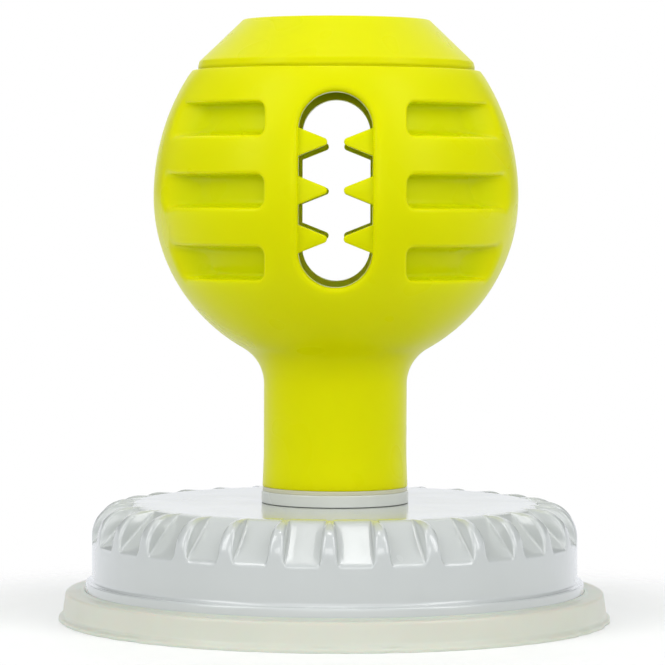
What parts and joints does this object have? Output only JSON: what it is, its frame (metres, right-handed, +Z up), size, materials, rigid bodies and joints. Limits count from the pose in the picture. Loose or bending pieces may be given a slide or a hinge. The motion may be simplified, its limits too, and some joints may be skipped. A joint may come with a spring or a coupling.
{
  "type": "lick ball treat toy",
  "caption": "Hollow lick and treat ball with a toothed slot, side pockets and a lid, on a stem that swivels on a twist-lock suction base",
  "frame": {"origin": "middle of the suction cup on the surface that it stands on", "axes": "+Z up along the stem, the ball's front slot faces -Y, +X to its right seen from the front"},
  "size_m": [0.1216, 0.1216, 0.1318],
  "materials": {
    "lime_rubber": "smooth semi-gloss soft plastic",
    "grey_plastic": "gloss",
    "insert_plastic": "gloss",
    "inner_plastic": "as moulded",
    "cup": "smooth translucent soft plastic",
    "steel": "zinc plated"
  },
  "bodies": {
    "base": {"suction_cup": "cup", "pressure_plate": "inner_plastic", "thrust_washer": "inner_plastic"},
    "knob": {"lock_knob": "grey_plastic", "cam_ring": "inner_plastic", "knob_screws": "steel"},
    "lift": {"cup_centre": "cup", "lift_stud": "inner_plastic", "cross_pin": "steel", "pivot_post": "grey_plastic", "post_washer": "steel", "post_screw": "steel"},
    "swivel": {"swivel_collar": "grey_plastic"},
    "ball": {"ball_shell": "lime_rubber", "stem_insert": "insert_plastic"},
    "lid": {"top_lid": "lime_rubber"}
  },
  "joints": [
    {"name": "knob_turn", "type": "hinge", "parent": "base", "child": "knob", "pos_m": [0, 0, 0.0124], "axis": [0, 0, -1], "range_deg": [0, 110]},
    {"name": "cup_lift", "type": "slide", "parent": "base", "child": "lift", "axis": [0, 0, 1], "range_m": [0, 0.004]},
    {"name": "ball_spin", "type": "hinge", "parent": "lift", "child": "swivel", "pos_m": [0, 0, 0.026], "axis": [0, 0, 1], "continuous": true},
    {"name": "ball_pull", "type": "slide", "parent": "swivel", "child": "ball", "axis": [0, 0, 1], "range_m": [0, 0.03]},
    {"name": "lid_pull", "type": "slide", "parent": "ball", "child": "lid", "axis": [0, 0, 1], "range_m": [0, 0.02]}
  ],
  "couplings": [
    {"joint": "cup_lift", "follows": "knob_turn", "m_per_rad": 0.0020835}
  ]
}
